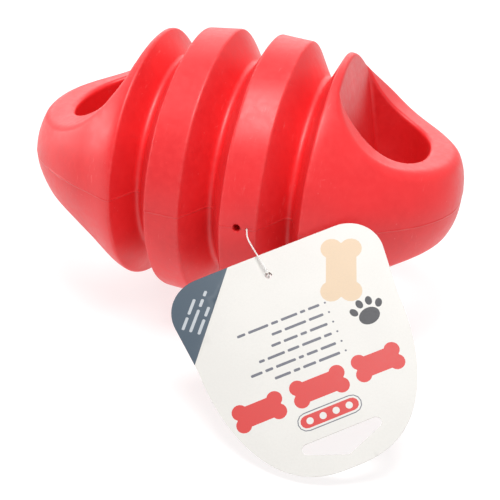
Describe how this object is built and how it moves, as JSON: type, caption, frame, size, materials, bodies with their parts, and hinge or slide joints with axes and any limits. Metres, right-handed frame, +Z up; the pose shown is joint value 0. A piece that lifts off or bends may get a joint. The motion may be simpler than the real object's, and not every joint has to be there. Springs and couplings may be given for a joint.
{
  "type": "rubber chew toy",
  "caption": "Hollow ribbed rubber chew toy for dogs: a barrel with a pull loop at each end, and a card tag hung from its front on a nylon pin.",
  "frame": {"origin": "middle of the rubber barrel, on the mould parting plane; the toy rests on its rib crests 47 mm below it", "axes": "+X along the barrel from loop to loop, +Z up, the side that carries the vent and the tag faces -Y"},
  "size_m": [0.1541, 0.1655, 0.093],
  "materials": {
    "rubber_red": "satin",
    "nylon": "satin, slightly clear",
    "card": "smooth printed card"
  },
  "bodies": {
    "toy": {"upper_shell": "rubber_red", "lower_shell": "rubber_red", "tag_pin_bar": "nylon"},
    "pin": {"tag_pin_thread": "nylon"},
    "tag": {"hang_tag": "card"}
  },
  "joints": [
    {"name": "thread_swing", "type": "hinge", "parent": "toy", "child": "pin", "pos_m": [0.0159, -0.0557, 0], "axis": [-0.8181, -0.443, -0.3665], "range_deg": [0, 95]},
    {"name": "tag_spin", "type": "hinge", "parent": "pin", "child": "tag", "pos_m": [0.0265, -0.0651, -0.009], "axis": [0, 0.6374, -0.7705], "range_deg": [0, 45]}
  ]
}
